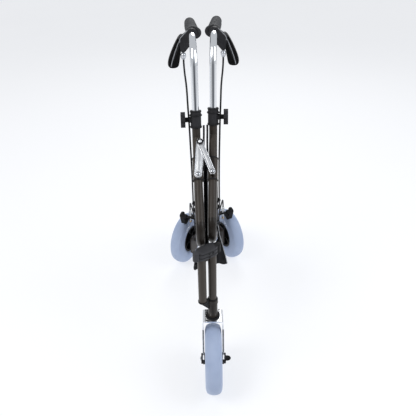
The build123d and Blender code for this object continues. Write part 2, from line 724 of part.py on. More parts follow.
def make_brace(word, side):
    normal = upper_normal(side)
    seat = link_pivot(side, 0)
    low = seat - upper_direction(side) * 14
    under = LINK_HEIGHT[side] - LINK_T / 2
    with BuildPart() as sleeve:
        add(bar(low, low + upper_direction(side) * SLEEVE_LENGTH, SLEEVE_R))
        with BuildSketch(Plane(origin=seat, z_dir=normal)):
            Circle(7)
        extrude(amount=under)
        with BuildSketch(Plane(origin=seat, z_dir=normal)):
            Circle(LINK_PIN_R)
        extrude(amount=under + LINK_T + 1)
        with BuildSketch(Plane(origin=seat + normal * (under + LINK_T + 0.3), z_dir=normal)):
            Circle(5.5)
        extrude(amount=2.5)
        add(bar(low - upper_direction(side) * 20, low + upper_direction(side) * 100, FRAME_R + RUNNING),
            mode=Mode.SUBTRACT)
    finish(sleeve.part, f"{word}_brace_sleeve")

    start = link_pivot(side, under)
    width = LINK_W[side]
    flat = Plane(origin=start, x_dir=link_direction(side), z_dir=normal)
    with BuildPart() as link:
        with BuildSketch(flat):
            with Locations((LINK_LENGTH / 2, 0)):
                SlotCenterToCenter(LINK_LENGTH, width)
            Circle(LINK_PIN_R + RUNNING, mode=Mode.SUBTRACT)
        extrude(amount=LINK_T)
        if side == RIGHT:
            with BuildSketch(flat.offset(LINK_T)):
                with Locations((LINK_LENGTH, 0)):
                    Circle(6.6)
            extrude(amount=1.5)
            with BuildSketch(flat.offset(LINK_T + 1.5)):
                with Locations((LINK_LENGTH, 0)):
                    Circle(4)
            extrude(amount=2.5)
    finish(link.part, f"{word}_brace_link")


# ---- bag ---------------------------------------------------------------------------------------------------
def make_bag():
    half = 7.0
    y0 = FRONT_AXLE_Y
    with BuildPart() as bag:
        with BuildSketch(Plane(origin=(0, 0, 0), x_dir=(0, 1, 0), z_dir=(1, 0, 0))):
            Polygon((y0 + 165, 300), (y0 + 150, 380), (y0 + 225, 560), (y0 + 262, 592), (y0 + 400, 560),
                    (y0 + 390, 300), align=None)
        extrude(amount=half, both=True)
        with BuildSketch(Plane(origin=(0, y0 + 165, 0), x_dir=(1, 0, 0), z_dir=(0, -1, 0))):
            Polygon((-38, 292), (58, 292), (14, 345), (-12, 345), align=None)
        extrude(amount=-60)
    finish(bag.part, "bag")


os.makedirs("parts", exist_ok=True)
for word, side in SIDES.items():
    make_side_frame(word, side)
    make_wheel(word, wheel_centre(side), axle_direction(side))
    make_handle(word, side)
    make_height_clamp(word, side)
    make_brake(word, side)
    make_cable(word, side)
    make_brace(word, side)
make_caster()
make_hinge()
make_bag()
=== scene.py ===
"""Looks of the folding three-wheel walker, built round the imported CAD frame. Metres throughout."""
import json
import math

import bmesh
import bpy
from mathutils import Matrix, Vector


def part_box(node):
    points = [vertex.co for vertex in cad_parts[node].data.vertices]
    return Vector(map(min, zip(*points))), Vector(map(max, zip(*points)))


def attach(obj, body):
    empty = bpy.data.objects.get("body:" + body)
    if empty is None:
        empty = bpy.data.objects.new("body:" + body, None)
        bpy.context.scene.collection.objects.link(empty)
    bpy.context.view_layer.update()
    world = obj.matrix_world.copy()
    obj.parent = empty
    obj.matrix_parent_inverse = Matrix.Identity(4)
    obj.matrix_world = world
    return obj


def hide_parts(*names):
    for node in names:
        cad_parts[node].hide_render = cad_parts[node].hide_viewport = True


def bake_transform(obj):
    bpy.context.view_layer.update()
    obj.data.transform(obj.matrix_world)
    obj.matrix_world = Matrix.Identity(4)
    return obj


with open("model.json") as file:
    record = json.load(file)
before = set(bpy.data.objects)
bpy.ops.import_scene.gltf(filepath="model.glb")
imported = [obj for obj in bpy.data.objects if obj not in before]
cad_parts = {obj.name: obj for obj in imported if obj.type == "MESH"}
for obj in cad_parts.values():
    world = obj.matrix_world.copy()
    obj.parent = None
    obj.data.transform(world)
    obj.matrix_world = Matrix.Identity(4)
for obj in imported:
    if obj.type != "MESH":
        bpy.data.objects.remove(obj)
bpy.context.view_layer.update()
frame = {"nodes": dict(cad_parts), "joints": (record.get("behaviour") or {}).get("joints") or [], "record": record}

JOINTS = {joint["name"]: joint for joint in frame["joints"]}
NODES = frame["nodes"]
SIDES = {"left": -1, "right": 1}
UP = Vector((0, 0, 1))
FRONT_AXLE_Y = JOINTS["front_wheel_spin"]["pos_m"][1]


def place(joint):
    return Vector(JOINTS[joint]["pos_m"])


def direction(joint):
    return Vector(JOINTS[joint]["axis"]).normalized()


def middle(node):
    low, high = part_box(node)
    return (low + high) / 2


# ---- materials ------------------------------------------------------------------------------------
NOISE_SPAN = (0.3, 0.7)  # where most of a noise's values lie
NOISE_DETAIL = 3.0
WAVE_PERIOD = 0.314  # of the wave texture at a scale of 1
THREAD_DISTORTION = 0.6
EDGE_WEAR_AND_HIGHLIGHT_SPAN = (0.52, 0.62)  # pointiness, from a plain face to an edge lightened by wear and a painted highlight
SHADE = 0.75  # a mottle's second colour against its first, where none is given
ROUGH_FINENESS = 2.3  # how much finer the roughness varies than the colour
LEAST_ROUGHNESS = 0.02
COAT_ROUGHNESS = 0.12


def link(tree, source, output, target, socket):
    tree.links.new(source.outputs[output], target.inputs[socket])


def map_range(tree, source, output, span, low=0.0, high=1.0):
    """Spreads a span of a node's output over low to high."""
    node = tree.nodes.new("ShaderNodeMapRange")
    node.inputs["From Min"].default_value = span[0]
    node.inputs["From Max"].default_value = span[1]
    node.inputs["To Min"].default_value = low
    node.inputs["To Max"].default_value = high
    link(tree, source, output, node, "Value")
    return node


def mix_colours(tree, factor, first, second):
    """Goes from a colour, or another mix, to a second colour with a factor node's result."""
    node = tree.nodes.new("ShaderNodeMix")
    node.data_type = "RGBA"
    if isinstance(first, bpy.types.Node):
        link(tree, first, "Result", node, "A")
    else:
        node.inputs["A"].default_value = (*first, 1)
    node.inputs["B"].default_value = (*second, 1)
    link(tree, factor, "Result", node, "Factor")
    return node


def pattern(tree, coords, kind, scale, stretch=(1, 1, 1)):
    """A noise or cell pattern over the object: its node, and the name of the output to read."""
    mapping = tree.nodes.new("ShaderNodeMapping")
    mapping.inputs["Scale"].default_value = stretch
    link(tree, coords, "Object", mapping, "Vector")
    node = tree.nodes.new({"noise": "ShaderNodeTexNoise", "cells": "ShaderNodeTexVoronoi"}[kind])
    node.inputs["Scale"].default_value = scale
    if kind == "noise":
        node.inputs["Detail"].default_value = NOISE_DETAIL
    link(tree, mapping, "Vector", node, "Vector")
    return node, ("Fac" if kind == "noise" else "Distance")


def weave(tree, coords, pitch):
    """Height of a plain weave: two sets of threads that cross."""
    both = tree.nodes.new("ShaderNodeMath")
    both.operation = "MAXIMUM"
    for index, axis in enumerate(("Y", "Z")):
        wave = tree.nodes.new("ShaderNodeTexWave")
        wave.bands_direction = axis
        wave.inputs["Scale"].default_value = WAVE_PERIOD / pitch
        wave.inputs["Distortion"].default_value = THREAD_DISTORTION
        link(tree, coords, "Object", wave, "Vector")
        tree.links.new(wave.outputs["Fac"], both.inputs[index])
    return both, "Value"


def surface(name, colour, roughness, metallic=0.0, second=None, patch=40, grain=None, bump=0.2, depth=0.0003,
            rough_spread=0.08, coat=0.0, sheen=0.0, edge=None, stretch=(1, 1, 1), specular=0.5):
    """A procedural material: mottled colour, uneven roughness, fine relief and, on request, edges lightened by
    wear and a painted highlight.
    """
    material = bpy.data.materials.new(name)
    material.use_nodes = True
    tree = material.node_tree
    shader = tree.nodes["Principled BSDF"]
    shader.inputs["Metallic"].default_value = metallic
    shader.inputs["Specular IOR Level"].default_value = specular
    shader.inputs["Coat Weight"].default_value = coat
    shader.inputs["Coat Roughness"].default_value = COAT_ROUGHNESS
    shader.inputs["Sheen Weight"].default_value = sheen
    coords = tree.nodes.new("ShaderNodeTexCoord")
    mottle, output = pattern(tree, coords, "noise", patch, stretch)
    share = map_range(tree, mottle, output, NOISE_SPAN)
    tint = mix_colours(tree, share, colour, second or [c * SHADE for c in colour])
    # Convex edges, found by pointiness, are lightened: partly wear, partly a painted highlight.
    if edge:
        geometry = tree.nodes.new("ShaderNodeNewGeometry")
        worn_and_highlit = map_range(tree, geometry, "Pointiness", EDGE_WEAR_AND_HIGHLIGHT_SPAN)
        tint = mix_colours(tree, worn_and_highlit, tint, edge)
    link(tree, tint, "Result", shader, "Base Color")
    rough, output = pattern(tree, coords, "noise", patch * ROUGH_FINENESS, stretch)
    smoothest = max(LEAST_ROUGHNESS, roughness - rough_spread)
    uneven = map_range(tree, rough, output, NOISE_SPAN, smoothest, roughness + rough_spread)
    link(tree, uneven, "Result", shader, "Roughness")
    if grain:
        kind, scale = grain
        relief, output = weave(tree, coords, scale) if kind == "weave" else pattern(tree, coords, kind, scale)
        raised = tree.nodes.new("ShaderNodeBump")
        raised.inputs["Strength"].default_value = bump
        raised.inputs["Distance"].default_value = depth
        link(tree, relief, output, raised, "Height")
        link(tree, raised, "Normal", shader, "Normal")
    return material


# The edge colours given below are lighter than the faces: wear and a painted highlight on convex edges.
PAINT = surface("hammered_paint", (0.017, 0.0128, 0.0100), 0.34, second=(0.011, 0.0083, 0.0065), patch=260,
                grain=("cells", 420), bump=0.28, depth=0.0004, coat=0.05, edge=(0.05, 0.041, 0.034),
                specular=0.2)
CHROME = surface("chrome", (0.90, 0.91, 0.93), 0.06, 1.0, second=(0.84, 0.86, 0.89), patch=18,
                 rough_spread=0.03, grain=("noise", 60), bump=0.05, depth=0.0006)
ZINC = surface("zinc_plate", (0.56, 0.58, 0.62), 0.22, 1.0, second=(0.42, 0.44, 0.48), patch=120,
               grain=("noise", 900), bump=0.10, edge=(0.92, 0.93, 0.95))
SATIN = surface("satin_link", (0.47, 0.48, 0.50), 0.40, 0.85, second=(0.38, 0.39, 0.41), patch=90,
                grain=("noise", 700), bump=0.07, edge=(0.92, 0.93, 0.95), stretch=(1, 0.3, 0.3))
STEEL = surface("ground_steel", (0.56, 0.57, 0.58), 0.2, 1.0, patch=200, grain=("noise", 1200), bump=0.08)
TYRE = surface("pale_tyre", (0.40, 0.475, 0.64), 0.62, second=(0.355, 0.43, 0.60), patch=22,
               grain=("noise", 950), bump=0.35, depth=0.0003, sheen=0.1, specular=0.3)
HUB = surface("black_hub", (0.006, 0.006, 0.007), 0.5, patch=60, grain=("noise", 1400), bump=0.2,
              edge=(0.03, 0.03, 0.033), specular=0.2)
BLACK = surface("black_moulding", (0.004, 0.004, 0.0045), 0.46, patch=90, grain=("noise", 1600), bump=0.3,
                depth=0.0002, edge=(0.03, 0.03, 0.033), specular=0.12)
GREY = surface("grey_moulding", (0.011, 0.011, 0.012), 0.52, patch=110, grain=("noise", 1500), bump=0.4,
               depth=0.0002, edge=(0.05, 0.05, 0.055), specular=0.16)
GRIP = surface("grip_rubber", (0.040, 0.041, 0.045), 0.74, second=(0.026, 0.027, 0.030), patch=160,
               grain=("cells", 700), bump=0.8, depth=0.0007, sheen=0.12, specular=0.25)
# Pale grey for the highlights painted along the lever's front edge and the clamp web's edge.
EDGE_HIGHLIGHT = surface("painted_edge_highlight", (0.30, 0.31, 0.33), 0.45, patch=140, grain=("noise", 900), bump=0.2)
SHEATH = surface("cable_sheath", (0.006, 0.006, 0.008), 0.36, patch=50, grain=("noise", 700), bump=0.1,
                 specular=0.25)
NYLON = surface("bag_nylon", (0.007, 0.007, 0.008), 0.62, second=(0.013, 0.013, 0.015), patch=34,
                grain=("weave", 0.0012), bump=0.7, depth=0.0004, sheen=0.03, specular=0.1)
WEBBING = surface("webbing", (0.010, 0.010, 0.012), 0.7, patch=90, grain=("weave", 0.0016), bump=0.8,
                  depth=0.0005, sheen=0.03, specular=0.1)
PIPING = surface("piping", (0.34, 0.35, 0.37), 0.5, second=(0.26, 0.27, 0.29), patch=160,
                 grain=("weave", 0.001), bump=0.4, sheen=0.2)
BRASS = surface("brass", (0.78, 0.52, 0.20), 0.28, 1.0, patch=120, grain=("noise", 900), bump=0.1)
BOOT = surface("white_boot", (0.80, 0.83, 0.86), 0.3, patch=80, grain=("noise", 500), bump=0.1, coat=0.4)
PAD = surface("brake_pad", (0.006, 0.006, 0.007), 0.66, patch=80, grain=("noise", 1200), bump=0.4,
              specular=0.2)

CAD_LOOKS = {
    "frame_paint": PAINT, "zinc": ZINC, "chrome_tube": CHROME, "tyre": TYRE, "hub_plastic": HUB,
    "black_plastic": BLACK, "grey_plastic": GREY, "grip_rubber": GRIP, "cable_sheath": SHEATH,
    "steel": STEEL, "bag_nylon": NYLON,
}


def wear(piece, material):
    piece.data.materials.clear()
    piece.data.materials.append(material)


for part in frame["record"]["subparts"]:
    wear(NODES[part["node"]], CAD_LOOKS[part["material_slot"]])
for word in SIDES:
    wear(NODES[f"{word}_brace_link"], SATIN)
    wear(NODES[f"{word}_brake_arm"], PAD)
    wear(NODES[f"{word}_brace_sleeve"], PAINT)


# ---- mesh helpers ---------------------------------------------------------------------------------
CURVE_STEPS, TUBE_STEPS = 8, 4
SOFTEN_ANGLE, SHARP_ANGLE = math.radians(35), math.radians(40)


def smooth_faces(mesh, smooth=True):
    for polygon in mesh.polygons:
        polygon.use_smooth = smooth


def add_piece(name, mesh, material, body):
    """Puts a mesh in the scene. With no body, the piece stays unattached unless the caller attaches it later."""
    made = bpy.data.objects.new(name, mesh)
    bpy.context.collection.objects.link(made)
    wear(made, material)
    if body:
        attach(made, body)
    return made


def piece_from(name, verts, faces, material, body, smooth=True):
    mesh = bpy.data.meshes.new(name)
    mesh.from_pydata([tuple(v) for v in verts], [], faces)
    mesh.update()
    work = bmesh.new()
    work.from_mesh(mesh)
    bmesh.ops.recalc_face_normals(work, faces=work.faces)
    work.to_mesh(mesh)
    work.free()
    smooth_faces(mesh, smooth)
    return add_piece(name, mesh, material, body)


def across(axis):
    """Two unit vectors square to an axis, the second as near to up as it can be."""
    side = axis.cross(UP)
    if side.length < 0.01:
        side = Vector((1, 0, 0))
    side.normalize()
    return side, side.cross(axis).normalized()


def outward(axis, side):
    """The level unit vector square to an axis that faces away from the walker's middle."""
    out = axis.cross(UP).normalized()
    return out * side if out.x > 0 else out * -side


def rings(rows, ends="capped"):
    """Verts and faces over rows of equal loops. The ends are capped, open or joined to each other."""
    verts = [v for row in rows for v in row]
    count = len(rows[0])
    spans = len(rows) if ends == "joined" else len(rows) - 1
    faces = []
    for i in range(spans):
        here, after = i * count, (i + 1) % len(rows) * count
        for j in range(count):
            k = (j + 1) % count
            faces.append((here + j, here + k, after + k, after + j))
    if ends == "capped":
        faces.append(tuple(range(count))[::-1])
        faces.append(tuple((len(rows) - 1) * count + j for j in range(count)))
    return verts, faces


def lathe(name, origin, axis, profile, material, body, steps=48, closed=False):
    """A turned piece. The profile gives (along the axis, radius), and a closed one is a ring's section."""
    side, up = across(axis)
    turns = [2 * math.pi * i / steps for i in range(steps)]
    rows = [[origin + axis * along + (side * math.cos(a) + up * math.sin(a)) * radius for a in turns]
            for along, radius in profile]
    verts, faces = rings(rows, "joined" if closed else "capped")
    return piece_from(name, verts, faces, material, body)


def ring_section(half, flat, bore, crown, drop):
    """Section of a ring whose outer corners are cut, for a closed lathe."""
    return [(-half, bore), (-half, crown - drop), (-flat, crown), (flat, crown), (half, crown - drop),
            (half, bore)]


def smooth_tube(name, points, radius, material, body, straight=False):
    """A mesh tube along a NURBS spline with these control points, or along straight runs between them."""
    curve = bpy.data.curves.new(name + "_path", "CURVE")
    curve.dimensions = "3D"
    spline = curve.splines.new("NURBS")
    spline.points.add(len(points) - 1)
    for point, target in zip(spline.points, points):
        point.co = (*target, 1)
    spline.order_u = 2 if straight else 3
    spline.use_endpoint_u = True
    spline.resolution_u = CURVE_STEPS
    curve.bevel_depth = radius
    curve.bevel_resolution = TUBE_STEPS
    curve.use_fill_caps = True
    path = bpy.data.objects.new(name + "_path", curve)
    bpy.context.collection.objects.link(path)
    graph = bpy.context.evaluated_depsgraph_get()
    mesh = bpy.data.meshes.new_from_object(path.evaluated_get(graph))
    mesh.name = name
    bpy.data.objects.remove(path)
    smooth_faces(mesh)
    return add_piece(name, mesh, material, body)


def slab(name, origin, x_dir, y_dir, outline, thickness, material, body, bevel=0.0004):
    """A flat plate from an outline, thick along x_dir cross y_dir, with softened edges."""
    normal = x_dir.cross(y_dir).normalized()
    rows = [[origin + x_dir * x + y_dir * y + normal * t for x, y in outline] for t in (0, thickness)]
    verts, faces = rings(rows)
    made = piece_from(name, verts, faces, material, None, smooth=False)
    soften(made, bevel)
    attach(made, body)
    return made


def apply_modifier(piece, kind, **settings):
    modifier = piece.modifiers.new(kind, kind)
    for key, value in settings.items():
        setattr(modifier, key, value)
    graph = bpy.context.evaluated_depsgraph_get()
    mesh = bpy.data.meshes.new_from_object(piece.evaluated_get(graph))
    piece.modifiers.clear()
    piece.data = mesh


def soften(piece, width):
    apply_modifier(piece, "BEVEL", width=width, segments=2, limit_method="ANGLE", angle_limit=SOFTEN_ANGLE)
    smooth_faces(piece.data)
    piece.data.set_sharp_from_angle(angle=SHARP_ANGLE)


# ---- wheels: rounded tread with fine running grooves, and a lip round each side of the rim ---------
RIM_LIP = [(0.0200, 0.0470), (0.0214, 0.0475), (0.0220, 0.0492), (0.0214, 0.0509), (0.0197, 0.0512)]


def tyre_profile():
    """Section of a tyre: one shoulder, the tread and the other shoulder."""
    half, rim, crown = 0.0238, 0.051, 0.100
    shoulder = [(-0.0195, rim), (-0.0217, 0.058), (-0.0231, 0.066), (-half, 0.074), (-0.0236, 0.081),
                (-0.0227, 0.0865), (-0.0208, 0.0915)]
    steps, reach, fall, roundness = 74, 0.0186, 0.0052, 2.2
    groove_pitch, groove_depth = 0.0030, 0.00034
    tread = []
    for i in range(steps + 1):
        x = -reach + 2 * reach * i / steps
        groove = groove_depth * (0.5 - 0.5 * math.cos(2 * math.pi * x / groove_pitch))
        tread.append((x, crown - fall * (abs(x) / reach) ** roundness - groove))
    return shoulder + tread + [(-x, r) for x, r in reversed(shoulder)]


for word in ("front", "left", "right"):
    spin = f"{word}_wheel_spin"
    tyre = lathe(f"{word}_tyre_tread", place(spin), direction(spin), tyre_profile(), TYRE,
                 f"{word}_wheel", steps=128, closed=True)
    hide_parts(f"{word}_tyre")
    for name, end in (("in", -1), ("out", 1)):
        lathe(f"{word}_rim_lip_{name}", place(spin), direction(spin), [(end * x, r) for x, r in RIM_LIP],
              HUB, f"{word}_wheel", steps=96, closed=True)


# ---- grips: a wing near the clamp, finger waves below and fine ribs above --------------------------
GRIP_LENGTH = 0.140
GRIP_SHAPE = [(0.000, 0.0112), (0.0004, 0.0160), (0.0016, 0.0172), (0.0045, 0.0176), (0.0075, 0.0173),
              (0.0105, 0.0167), (0.015, 0.0162), (0.024, 0.0158), (0.040, 0.0158), (0.058, 0.0165),
              (0.076, 0.0170), (0.094, 0.0167), (0.110, 0.0160), (0.125, 0.0156), (0.132, 0.0156),
              (0.1365, 0.0150), (0.139, 0.0132), (0.140, 0.0100)]
GRIP_STEPS = 64
GRIP_SQUASH = 0.97  # height against width
WING_HEIGHT, WING_WIDTH = 0.0072, 0.85
WING_START, WING_LENGTH, WING_TAPER = 0.004, 0.080, 1.3
RELIEF_START, RELIEF_END = 0.016, 0.127
FINGER_START, FINGER_PITCH, FINGER_DEPTH = 0.018, 0.0215, 0.0011
RIB_PITCH, RIB_HEIGHT, RIB_SPREAD = 0.0045, 0.00032, 0.35


def grip_radius(along):
    for (a, low), (b, high) in zip(GRIP_SHAPE, GRIP_SHAPE[1:]):
        if along <= b:
            return low + (high - low) * (along - a) / (b - a)
    return GRIP_SHAPE[-1][1]


def grip_reach(along, a):
    """Radius of the moulded grip at an angle from outward, a quarter turn being up."""
    from_inward = math.atan2(math.sin(a - math.pi), math.cos(a - math.pi))
    inner = math.exp(-((from_inward / WING_WIDTH) ** 2))
    wing = WING_HEIGHT * inner * max(0.0, 1 - max(0.0, along - WING_START) / WING_LENGTH) ** WING_TAPER
    reach = grip_radius(along) + wing
    if RELIEF_START < along < RELIEF_END:
        below = max(0.0, -math.sin(a))
        finger = -FINGER_DEPTH * below * math.cos(2 * math.pi * (along - FINGER_START) / FINGER_PITCH)
        rib = RIB_HEIGHT * math.cos(2 * math.pi * along / RIB_PITCH) * max(0.0, math.sin(a) + RIB_SPREAD)
        reach += finger + rib
    return reach


def grip_stations():
    """Where the grip's rows lie: at its shape's points near the ends, and evenly between them."""
    first, pitch, count = 0.018, 0.0015, 73
    near = [along for along, _ in GRIP_SHAPE[:7]]
    far = [along for along, _ in GRIP_SHAPE if along > 0.1265]
    return near + [first + pitch * i for i in range(count)] + far


for word, side in SIDES.items():
    axis = direction(f"{word}_lever_squeeze") * side
    low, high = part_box(f"{word}_grip")
    start = (low + high) / 2 - axis * GRIP_LENGTH / 2
    out = outward(axis, side)
    rows = []
    for along in grip_stations():
        row = []
        for j in range(GRIP_STEPS):
            a = 2 * math.pi * j / GRIP_STEPS
            r = grip_reach(along, a)
            row.append(start + axis * along + out * (r * math.cos(a)) + UP * (r * math.sin(a) * GRIP_SQUASH))
        rows.append(row)
    verts, faces = rings(rows)
    grip = piece_from(f"{word}_grip_moulded", verts, faces, GRIP, f"{word}_handle")
    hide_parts(f"{word}_grip")
    lathe(f"{word}_grip_ring", start - axis * 0.0032, axis,
          [(0, 0.0098), (0, 0.0150), (0.0008, 0.0160), (0.0026, 0.0160), (0.0031, 0.0150), (0.0031, 0.0098)],
          BLACK, f"{word}_handle", closed=True)


# ---- brake levers: a channel round a pin, with a pale line painted as a highlight along its front edge ---
LEVER_HALF = 0.010  # along the pin
LEVER_SHAPE = [(-0.0068, 0.0050), (-0.0010, 0.0080), (0.0060, 0.0062), (0.0185, -0.0140), (0.0290, -0.0350),
               (0.0370, -0.0540), (0.0400, -0.0680), (0.0375, -0.0765), (0.0290, -0.0790), (0.0185, -0.0785),
               (0.0110, -0.0750), (0.0085, -0.0660), (0.0050, -0.0460), (0.0010, -0.0270), (-0.0040, -0.0110),
               (-0.0072, -0.0020)]
LEVER_CENTRE = (0.018, -0.042)
LEVER_ROWS = [(-LEVER_HALF + 0.0012, 0.32), (-LEVER_HALF, 0.12), (-LEVER_HALF, 0.03),
              (-LEVER_HALF + 0.0006, 0.0), (-0.003, -0.04), (0.004, -0.04),
              (LEVER_HALF - 0.0012, 0.0), (LEVER_HALF, 0.10), (LEVER_HALF, 0.30)]
# The path of the pale tube painted as a highlight along the lever's front edge.
LEVER_HIGHLIGHT_LINE = [(0.0010, 0.0030), (0.0080, -0.0110), (0.0160, -0.0290), (0.0235, -0.0480), (0.0290, -0.0640),
              (0.0310, -0.0730)]
LEVER_POCKET = [(0.0005, -0.0100), (0.0075, -0.0120), (0.0300, -0.0600), (0.0280, -0.0660),
                (0.0240, -0.0600)]
WEB_FRONT = 0.0114  # from the lever's side to the face of the clamp's web
# The path of the pale tube painted as a highlight along the clamp web's edge.
WEB_HIGHLIGHT_LINE = [(-0.0160, 0.0215), (-0.0030, 0.0090), (0.0060, 0.0005), (0.0050, -0.0080)]


def lever_outline(inset):
    """The lever's outline in (outward, up) from its pivot, drawn in half as much in height as in width."""
    centre_x, centre_y = LEVER_CENTRE
    return [(centre_x + (x - centre_x) * (1 - inset), centre_y + (y - centre_y) * (1 - inset * 0.5))
            for x, y in LEVER_SHAPE]


def upright(origin, out, outline):
    """The points of an outline that is given in (outward, up) from an origin."""
    return [origin + out * x + UP * y for x, y in outline]


for word, side in SIDES.items():
    axis = direction(f"{word}_lever_squeeze") * side
    pivot = place(f"{word}_lever_squeeze")
    out = outward(axis, side)
    rows = [upright(pivot + axis * along, out, lever_outline(inset)) for along, inset in LEVER_ROWS]
    verts, faces = rings(rows)
    lever = piece_from(f"{word}_lever_blade", verts, faces, BLACK, None)
    apply_modifier(lever, "SUBSURF", levels=2, render_levels=2)
    smooth_faces(lever.data)
    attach(lever, f"{word}_lever")
    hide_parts(f"{word}_brake_lever")
    # A pale tube along the lever's front edge: a painted highlight.
    smooth_tube(f"{word}_lever_edge_highlight", upright(pivot - axis * (LEVER_HALF + 0.0004), out, LEVER_HIGHLIGHT_LINE), 0.0013,
                EDGE_HIGHLIGHT, f"{word}_lever")
    # The side's sign is on both the height and the direction, so either plate is thick towards the front.
    slab(f"{word}_lever_pocket", pivot - axis * (LEVER_HALF + 0.0003), out, UP * side,
         [(x, y * side) for x, y in LEVER_POCKET], 0.0006, HUB, f"{word}_lever",
         bevel=0.0002)
    lathe(f"{word}_lever_pin_head", pivot + axis * (LEVER_HALF + 0.0006), axis,
          [(0, 0.0030), (0, 0.0052), (0.0012, 0.0052), (0.0022, 0.0040), (0.0026, 0.0018), (0.0026, 0.0004)],
          ZINC, f"{word}_handle", steps=28)
    # A pale tube along the clamp web's edge: a painted highlight.
    smooth_tube(f"{word}_web_edge_highlight", upright(pivot - axis * (LEVER_HALF + WEB_FRONT), out, WEB_HIGHLIGHT_LINE), 0.0011,
                EDGE_HIGHLIGHT, f"{word}_handle")
    lathe(f"{word}_lever_barrel", middle(f"{word}_lever_adjuster") - UP * 0.0040, UP,
          [(0, 0.0020), (0.0004, 0.0046), (0.0018, 0.0066), (0.0045, 0.0075), (0.0075, 0.0075),
           (0.0100, 0.0064), (0.0116, 0.0046), (0.0120, 0.0020)],
          ZINC, f"{word}_handle", steps=36)


# ---- brake cables, held from the lever to the brake ------------------------------------------------
CABLE_ROUTE = [
    (0.053653, 0.085001, 0.858), (0.053653, 0.085001, 0.832), (0.046202, 0.032122, 0.8),
    (0.0444, 0.012178, 0.758), (0.041799, -0.002729, 0.708), (0.040439, -0.011682, 0.655),
    (0.03948, -0.010643, 0.602), (0.039502, 0.002367, 0.553), (0.040406, 0.032355, 0.495216),
    (0.04161, 0.062331, 0.437225), (0.042975, 0.096303, 0.388368), (0.044339, 0.130276, 0.337511),
    (0.045543, 0.160252, 0.30252), (0.049625, 0.192113, 0.3), (0.055147, 0.229922, 0.296),
    (0.060348, 0.259738, 0.292), (0.061748, 0.269689, 0.268), (0.061748, 0.269689, 0.25),
]
LEFT_LEAD = 0.018  # how far the left side stands in front of the right
for word, side in SIDES.items():
    lead = LEFT_LEAD if side < 0 else 0.0
    route = [Vector((x * side, y - lead, z)) for x, y, z in CABLE_ROUTE]
    cable = smooth_tube(f"{word}_cable_sheath", route, 0.0025, SHEATH, None)
    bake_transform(cable)
    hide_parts(f"{word}_brake_cable")


# ---- wheel brakes ---------------------------------------------------------------------------------
BRAKE_FOOT = (-0.030, -0.052, 0.068)  # the wire's end from the wheel's middle: along the axle, back and up

for word, side in SIDES.items():
    barrel = middle(f"{word}_brake_adjuster")
    low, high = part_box(f"{word}_brake_adjuster")
    body = f"{word}_side"
    lathe(f"{word}_brake_boot", Vector((barrel.x, barrel.y, high.z - 0.016)), UP,
          [(0, 0.0046), (0, 0.0060), (0.003, 0.0063), (0.010, 0.0058), (0.0155, 0.0046), (0.018, 0.0036),
           (0.018, 0.0027)], BOOT, body, steps=32)
    lathe(f"{word}_brake_lock_nut", Vector((barrel.x, barrel.y, low.z - 0.001)), UP,
          [(0, 0.0026), (0, 0.0050), (0.0010, 0.0056), (0.0045, 0.0056), (0.0055, 0.0050), (0.0055, 0.0046)],
          BRASS, body, steps=6)
    wheel, axle = place(f"{word}_wheel_spin"), direction(f"{word}_wheel_spin")
    back = UP.cross(axle).normalized()
    back = back if back.y > 0 else -back
    foot = wheel + axle * BRAKE_FOOT[0] + back * BRAKE_FOOT[1] + UP * BRAKE_FOOT[2]
    inside_nut = Vector((barrel.x, barrel.y, low.z + 0.002))
    below_nut = Vector((barrel.x, barrel.y, low.z - 0.012)).lerp(foot, 0.15)
    smooth_tube(f"{word}_brake_wire", [inside_nut, below_nut, foot], 0.0009, ZINC, body)
    pivot = place(f"{word}_brake_swing")
    lathe(f"{word}_brake_button", pivot + UP * 0.0068, UP,
          [(0, 0.0040), (0, 0.0068), (0.0020, 0.0076), (0.0050, 0.0074), (0.0075, 0.0060), (0.0090, 0.0034),
           (0.0093, 0.0010)], BLACK, f"{word}_brake", steps=36)


# ---- folding brace: raised rims, heads and the middle bolt -----------------------------------------
LINK_LENGTH, LINK_T = 0.091, 0.003
LINK_HALF = {"left": 0.010, "right": 0.0075}
LINK_LEAN = {"left": math.radians(-5.314), "right": math.radians(21.859)}
LINK_RIM, RIM_STEPS = 0.0009, 12
PANEL_START, PANEL_END, PANEL_SHARE = 0.010, LINK_LENGTH - 0.012, 0.45
TAB_T, TAB_SHARE = 0.0022, 0.8
SLEEVE_RINGS = {"ring": 0.050, "foot_ring": -0.012}
SLEEVE_SECTION = ring_section(0.0018, 0.0012, 0.0113, 0.0144, 0.0008)

